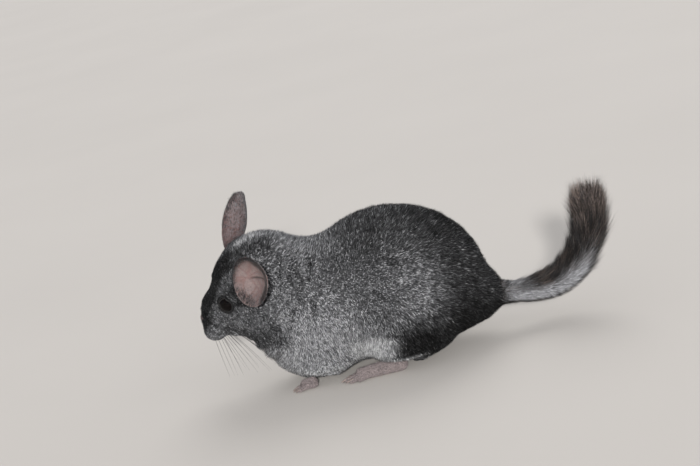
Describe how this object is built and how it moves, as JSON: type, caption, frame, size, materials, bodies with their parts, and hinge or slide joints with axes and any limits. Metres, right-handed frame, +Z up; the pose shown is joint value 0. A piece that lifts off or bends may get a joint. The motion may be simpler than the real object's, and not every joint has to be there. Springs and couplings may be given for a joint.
{
  "type": "chinchilla",
  "caption": "Life-size grey chinchilla crouching with its head lowered, its round ears out and its brush tail raised; it stands on flat soles.",
  "frame": {"origin": "under the middle of the animal's box, on the floor", "axes": "+Z up, -X the way the animal faces, -Y its left side"},
  "size_m": [0.3416, 0.1298, 0.1609],
  "materials": {
    "coat": "dense plush fur, dark grey with pale ticking",
    "ear_skin": "thin bare skin with short down",
    "eye": "wet gloss black",
    "foot_skin": "short pale fur over pink skin"
  },
  "bodies": {
    "root": {"ear_left": "ear_skin", "ear_right": "ear_skin", "eye_left": "eye", "eye_right": "eye", "fore_leg_left": "coat", "fore_leg_right": "coat", "fore_paw_left": "foot_skin", "fore_paw_right": "foot_skin", "head": "coat", "hind_foot_left": "foot_skin", "hind_foot_right": "foot_skin", "hind_leg_left": "coat", "hind_leg_right": "coat", "neck": "coat", "tail_brush": "coat", "tail_middle": "coat", "tail_root": "coat", "torso": "coat"}
  },
  "joints": []
}
